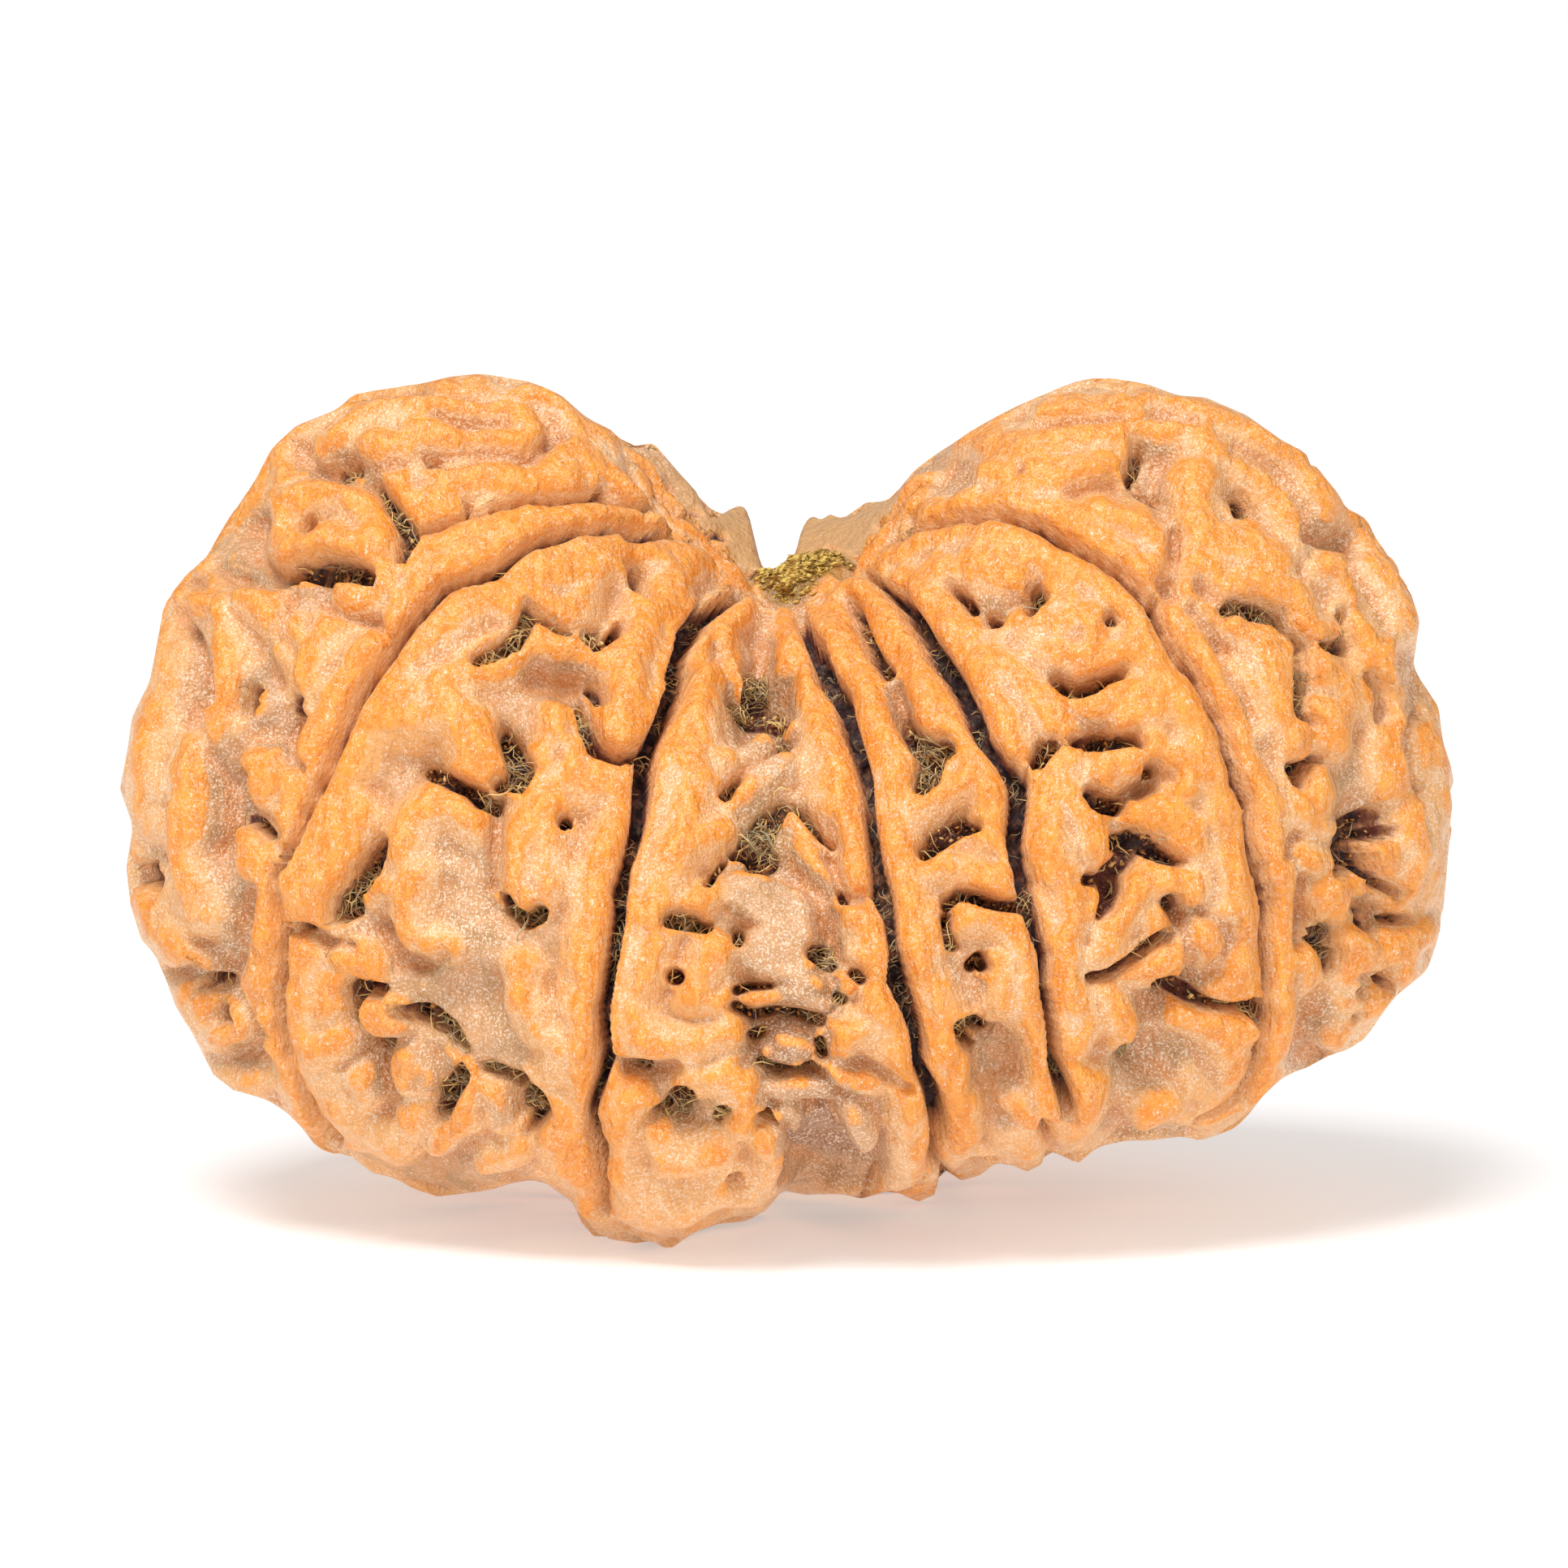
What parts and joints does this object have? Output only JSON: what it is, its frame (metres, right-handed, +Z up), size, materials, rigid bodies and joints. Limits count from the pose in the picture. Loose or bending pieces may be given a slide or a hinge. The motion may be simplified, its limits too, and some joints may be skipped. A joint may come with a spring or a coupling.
{
  "type": "rudraksha seed",
  "caption": "Dried rudraksha seed stone, bean-shaped with a deep stem notch, lines between the faces and a raised net of ridges and pits.",
  "frame": {"origin": "middle of the footprint, on the surface the seed lies on", "axes": "+Z up, stem notch on top; +X along the longest side; -Y is the side seen in the picture"},
  "size_m": [0.0326, 0.0206, 0.0209],
  "materials": {
    "stone": "waxy dry seed stone, orange crests, pale valleys, dark pits"
  },
  "bodies": {
    "root": {"seed": "stone"}
  },
  "joints": []
}
